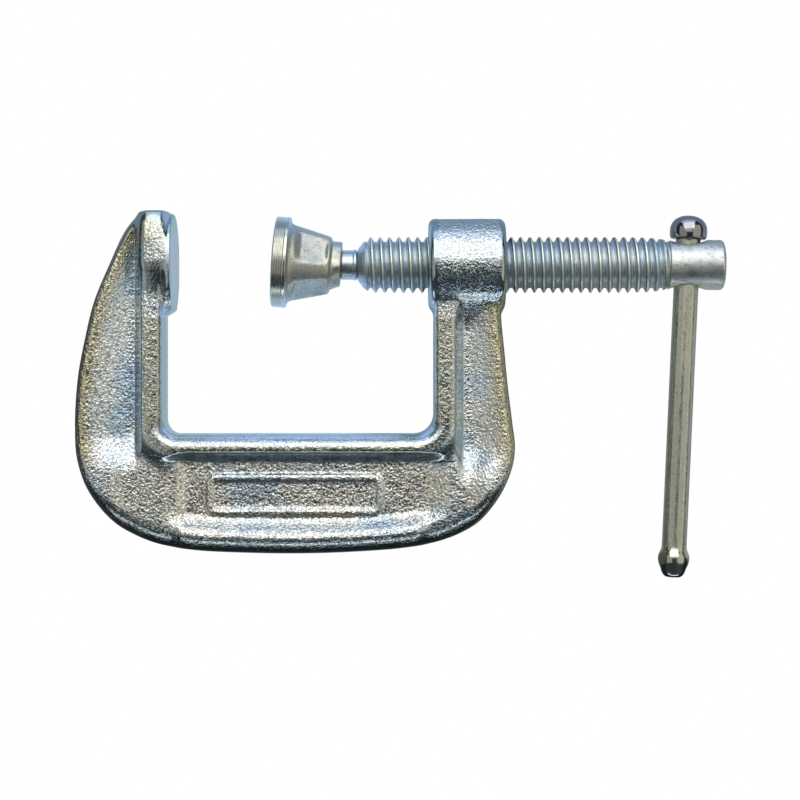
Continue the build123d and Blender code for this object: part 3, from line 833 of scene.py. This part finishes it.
def crimp(x, r, a):
    # four flats pressed in round the socket, leaning in toward the lip
    w = smooth((x + 4.7) / 1.1) * (1 - smooth((x - 0.35) / 1.0))
    outer = (r > 3.6) & (x > -5.3)
    seg = np.pi / 2
    d = (a - math.radians(62.0) + seg / 2) % seg - seg / 2
    dish = 0.16 * np.clip(1 - (d / 0.62) ** 2, 0, 1) * np.clip(1 - ((x + 2.0) / 3.4) ** 2, 0, 1)
    flat = (4.98 - dish - 0.2345 * (x + 1.85)) / np.cos(d)
    k = 14.0
    soft = -np.log(np.exp(-k * r) + np.exp(-k * flat)) / k
    out = np.where(outer, r + (np.minimum(soft, r) - r) * w, r)
    # the lip is pinched a little between the flats' ends
    lip = smooth((x - 1.2) / 0.5) * (r > 3.5) * 0.30 * np.clip(np.cos(d), 0, 1) ** 8
    bent = smooth((x - 1.0) / 2.2) * (r > 3.5) * 0.68 * smooth((-np.cos(a) + 0.1) / 0.9)
    return x, out - np.maximum(lip, bent)


pv, pf = lathe(pad_prof, 192, crimp)
turn = Matrix.Rotation(math.radians(PAD_TILT), 3, "Z")
pv = pv @ np.array(turn).T + np.array([BALL_X, 0, 0])
pad = build("swivel_pad_turned", pv, pf, "pad", "swivel_pad", M_PAD, weld=0.002)
dress(pad, [M_RIM], lambda q: (q[:, 0] - BALL_X + q[:, 1] * math.sin(math.radians(PAD_TILT)) < PF + 2.5))

# ------------------------------------------------------------------ sliding bar
head_prof = catmull([(4.43, 2.86), (4.52, 2.98), (5.0, 3.12), (5.8, 3.15), (6.5, 3.06), (7.2, 2.74), (7.75, 2.22),
                     (8.12, 1.55), (8.32, 0.8), (8.385, 0.0)], False, 6)
shank = [(-52.98, 0), (-52.98, 1.0), (-52.9, 1.3), (-52.6, 1.66), (-52.1, 1.96), (-51.5, 2.16), (-50.9, 2.42), (-50.3, 2.6),
         (-49.8, 2.64), (-49.3, 2.6), (-48.8, 2.42), (-48.3, 2.2), (-47.8, 2.11)]
shank = catmull(shank[1:], False, 3)
shank = np.vstack([[(-52.98, 0)], shank, [(y, 2.095) for y in np.arange(-47.0, 4.4, 0.6)], [(4.42, 2.095), (4.42, 2.45)]])
bar_prof = np.vstack([shank, head_prof])


def swage(x, r, a):
    # two press marks on the swaged end, and a nearly flat strip left by drawing
    w = smooth((-47.4 - x) / 1.2) * (1 - smooth((-52.2 - x) / 0.5))
    flat = 2.36 / np.maximum(np.abs(np.cos(a - 0.5)), 0.3)
    r = r + (np.minimum(r, flat) - r) * w
    # flats of the drawing die along the shank, on both sides
    on = smooth((x + 47.0) / 0.8) * (1 - smooth((x - 3.2) / 0.8)) * (r < 2.2)
    for at in (62.0, 102.0, 148.0, 242.0, 282.0, 328.0):
        d = (a - math.radians(at) + np.pi) % (2 * np.pi) - np.pi
        r = r + on * np.minimum(0, 2.052 / np.maximum(np.cos(d), 0.5) - r)
    return x, r


bv, bf = lathe(bar_prof, 128, swage)
# lathe axis X becomes the bar's own axis, +Y leant over
bv = np.stack([-bv[:, 1], bv[:, 0], bv[:, 2]], 1)
lean = np.array(Matrix.Rotation(math.radians(BAR_LEAN), 3, "Z"))
bv = bv @ lean.T + np.array([CROSS_X, 0, 0])
bar = build("sliding_bar_rod", bv, bf, "handle", "sliding_bar", M_BAR, weld=0.002)
# painted highlight: light stripes along the bar at fixed places across it, a strong one left of the axis and a weaker
# one right of it
co = points(bar) @ lean
across = (co[:, 0] - CROSS_X * math.cos(math.radians(BAR_LEAN))) / 2.095
store(bar, "painted_highlight", np.interp(across, [-1.0, -0.86, -0.74, -0.60, -0.35, 0.0, 0.38, 0.52, 0.66, 0.80, 1.0],
                              [0.0, 0.15, 1.0, 0.35, 0.30, 0.12, 0.10, 0.75, 0.70, 0.05, 0.0]))
dress(bar, [M_KNOB, M_END], lambda q: np.where(q[:, 1] > 4.3, 1, np.where(q[:, 1] < -47.6, 2, 0)))

# ------------------------------------------------------------------ floor, lights, camera
def stage_plane():
    mesh = bpy.data.meshes.new("floor")
    z = CAD_BOX[0][2]
    h = 3.0
    mesh.from_pydata([(-h, -h, z), (h, -h, z), (h, h, z), (-h, h, z)], [], [(0, 1, 2, 3)])
    m = bpy.data.materials.new("floor_pale")
    m.use_nodes = True
    nt = m.node_tree
    nt.nodes.clear()
    out = nt.nodes.new("ShaderNodeOutputMaterial")
    seen = nt.nodes.new("ShaderNodeEmission")
    seen.inputs["Color"].default_value = (1, 1, 1, 1)
    # what the metal mirrors: pale close by, falling off to dark cards further out
    lit = nt.nodes.new("ShaderNodeEmission")
    far = nt.nodes.new("ShaderNodeVectorMath")
    far.operation = "DISTANCE"
    nt.links.new(coords(nt), far.inputs[0])
    far.inputs[1].default_value = (0.020, -0.012, z)
    sep = nt.nodes.new("ShaderNodeSeparateXYZ")
    nt.links.new(coords(nt), sep.inputs[0])
    side = ramp(nt, spread(nt, sep.outputs["X"], 0.0, 1.0, -0.04, 0.09),
                [(0.20, (0.085, 0.07, 0.095)), (0.78, (0.15, 0.15, 0.10)), (0.96, (0.42, 0.48, 0.48))])
    side = mixed(nt, spread(nt, sep.outputs["Y"], 0.0, 1.0, -0.048, -0.056), side, (0.015, 0.022, 0.026))
    side = mixed(nt, spread(nt, sep.outputs["Y"], 0.0, 1.0, 0.004, 0.012), side, (0.26, 0.36, 0.50))
    near = spread(nt, far.outputs["Value"], 1.0, 0.0, 0.026, 0.044)
    off = nt.nodes.new("ShaderNodeMath")
    off.operation = "SUBTRACT"
    nt.links.new(sep.outputs["X"], off.inputs[0])
    off.inputs[1].default_value = 0.0212
    mag = nt.nodes.new("ShaderNodeMath")
    mag.operation = "ABSOLUTE"
    nt.links.new(off.outputs[0], mag.inputs[0])
    by = nt.nodes.new("ShaderNodeMath")
    by.operation = "MAXIMUM"
    nt.links.new(spread(nt, mag.outputs[0], 0.0, 1.0, 0.0150, 0.0180), by.inputs[0])
    nt.links.new(spread(nt, sep.outputs["Y"], 0.0, 1.0, -0.0215, -0.0240), by.inputs[1])
    edge = mixed(nt, spread(nt, sep.outputs["X"], 0.0, 1.0, 0.030, 0.034), (0.46, 0.59, 0.68), (0.26, 0.36, 0.42))
    throat = mixed(nt, by.outputs[0], (0.52, 0.72, 1.05), edge)
    col = mixed(nt, near, side, throat)
    nt.links.new(col, lit.inputs["Color"])
    lp = nt.nodes.new("ShaderNodeLightPath")
    mx = nt.nodes.new("ShaderNodeMixShader")
    nt.links.new(lp.outputs["Is Camera Ray"], mx.inputs[0])
    nt.links.new(lit.outputs[0], mx.inputs[1])
    nt.links.new(seen.outputs[0], mx.inputs[2])
    nt.links.new(mx.outputs[0], out.inputs[0])
    mesh.materials.append(m)
    o = bpy.data.objects.new("floor", mesh)
    bpy.context.scene.collection.objects.link(o)


stage_plane()
MID = Vector((0.0382, -0.0229, 0.0))


def area(name, direction, dist, size, power, color=(1, 1, 1), size_y=None):
    d = bpy.data.lights.new(name, "AREA")
    d.shape = "RECTANGLE"
    d.size = size
    d.size_y = size_y or size
    d.energy = power
    d.color = color
    o = bpy.data.objects.new(name, d)
    v = Vector(direction).normalized()
    o.location = MID + v * dist
    o.rotation_euler = (-v).to_track_quat("-Z", "Y").to_euler()
    bpy.context.scene.collection.objects.link(o)
    return o


# softboxes: far side, right, overhead, a low strip in front, a weak one on the left
def softbox(name, toward, tilt, wide, deep, glow, color, dist=0.8):
    """A box seen from the part tilt degrees down from overhead, wide and deep degrees across."""
    t, a = math.radians(tilt), math.radians(toward)
    v = (math.sin(t) * math.cos(a), math.sin(t) * math.sin(a), math.cos(t))
    w, h = 2 * dist * math.tan(math.radians(wide / 2)), 2 * dist * math.tan(math.radians(deep / 2))
    o = area(name, v, dist, w, glow * math.pi * w * h, color, h)
    z = Vector(v)
    side = Vector((-math.sin(a), math.cos(a), 0))
    m = Matrix((side, z.cross(side), z)).transposed()
    o.rotation_euler = m.to_euler()


softbox("box_far", 90, 41, 62, 50, 1.9, (0.98, 0.99, 1.0))
softbox("box_back", 90, 79, 62, 22, 1.25, (0.60, 0.76, 0.98))
softbox("box_right", 2, 48, 66, 52, 0.62, (1.0, 0.96, 0.80))
softbox("box_over", 90, 10.5, 36, 13, 0.80, (1.0, 0.96, 0.84))
softbox("box_low", -90, 88, 80, 24, 0.22, (0.50, 0.76, 0.84))
softbox("box_front", -90, 84, 70, 5, 3.2, (0.95, 0.97, 1.0))
softbox("box_left", 180, 40, 62, 48, 0.44, (0.92, 0.90, 0.78))

world = bpy.data.worlds.new("studio")
bpy.context.scene.world = world
world.use_nodes = True
wt = world.node_tree
wt.nodes.clear()
wo = wt.nodes.new("ShaderNodeOutputWorld")
dim = wt.nodes.new("ShaderNodeBackground")
dim.inputs["Color"].default_value = (0.040, 0.054, 0.064, 1)
dim.inputs["Strength"].default_value = 1.0
pale = wt.nodes.new("ShaderNodeBackground")
pale.inputs["Color"].default_value = (1, 1, 1, 1)
mixw = wt.nodes.new("ShaderNodeMixShader")
lp = wt.nodes.new("ShaderNodeLightPath")
wt.links.new(lp.outputs["Is Camera Ray"], mixw.inputs[0])
wt.links.new(dim.outputs[0], mixw.inputs[1])
wt.links.new(pale.outputs[0], mixw.inputs[2])
wt.links.new(mixw.outputs[0], wo.inputs[0])

cam_data = bpy.data.cameras.new("camera")
cam_data.lens = 85
cam_data.sensor_width = 36
cam = bpy.data.objects.new("camera", cam_data)
cam.location = (0.0382, -0.0229, 0.3205)
cam.rotation_euler = (0, 0, 0)
bpy.context.scene.collection.objects.link(cam)
bpy.context.scene.camera = cam
bpy.context.scene.view_settings.view_transform = "Standard"

bpy.context.view_layer.update()
